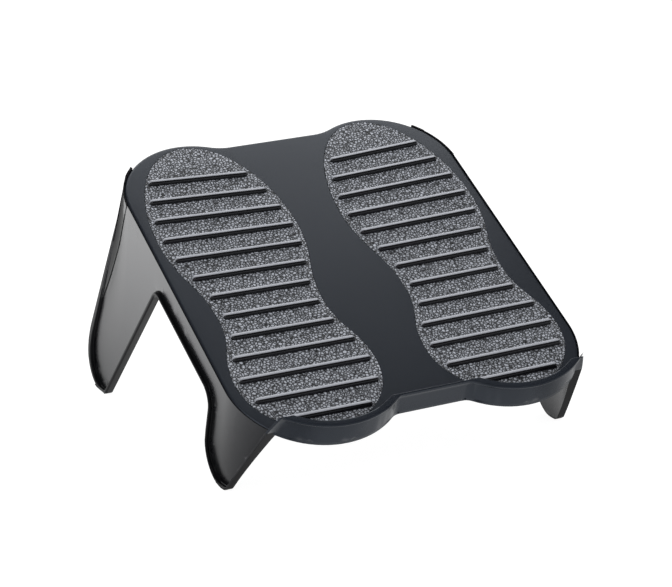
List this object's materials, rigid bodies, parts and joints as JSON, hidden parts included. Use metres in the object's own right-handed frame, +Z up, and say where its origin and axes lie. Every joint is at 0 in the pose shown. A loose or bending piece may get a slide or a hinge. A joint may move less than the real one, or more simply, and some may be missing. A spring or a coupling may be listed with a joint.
{
  "type": "under desk footrest",
  "caption": "Fixed sloped under-desk footrest: a deck with foot-shaped ribbed soles, a raised heel stop at the low edge and V-legged side panels on rubber feet.",
  "frame": {"origin": "on the floor, under the middle of the whole footrest's bounding box", "axes": "+Z up; -Y towards the user, where the low edge with the heel stop is; +X to the user's right"},
  "size_m": [0.3082, 0.402, 0.2207],
  "materials": {
    "deck_plastic": "smooth satin black",
    "panel_plastic": "smooth semi-gloss black",
    "sole_plastic": "pebbled dark grey grain",
    "rib_plastic": "glossy black",
    "foot_rubber": "matte black",
    "screw_steel": "plain zinc-plated"
  },
  "bodies": {
    "root": {"deck_panel": "deck_plastic", "heel_stop": "deck_plastic", "left_side_panel": "panel_plastic", "right_side_panel": "panel_plastic", "left_front_foot": "foot_rubber", "right_front_foot": "foot_rubber", "left_rear_foot": "foot_rubber", "right_rear_foot": "foot_rubber", "left_sole_pad": "sole_plastic", "right_sole_pad": "sole_plastic", "left_panel_screws": "screw_steel", "right_panel_screws": "screw_steel", "left_grip_rib_01": "rib_plastic", "left_grip_rib_02": "rib_plastic", "left_grip_rib_03": "rib_plastic", "left_grip_rib_04": "rib_plastic", "left_grip_rib_05": "rib_plastic", "left_grip_rib_06": "rib_plastic", "left_grip_rib_07": "rib_plastic", "left_grip_rib_08": "rib_plastic", "left_grip_rib_09": "rib_plastic", "left_grip_rib_10": "rib_plastic", "left_grip_rib_11": "rib_plastic", "left_grip_rib_12": "rib_plastic", "left_grip_rib_13": "rib_plastic", "right_grip_rib_01": "rib_plastic", "right_grip_rib_02": "rib_plastic", "right_grip_rib_03": "rib_plastic", "right_grip_rib_04": "rib_plastic", "right_grip_rib_05": "rib_plastic", "right_grip_rib_06": "rib_plastic", "right_grip_rib_07": "rib_plastic", "right_grip_rib_08": "rib_plastic", "right_grip_rib_09": "rib_plastic", "right_grip_rib_10": "rib_plastic", "right_grip_rib_11": "rib_plastic", "right_grip_rib_12": "rib_plastic", "right_grip_rib_13": "rib_plastic"}
  },
  "joints": []
}
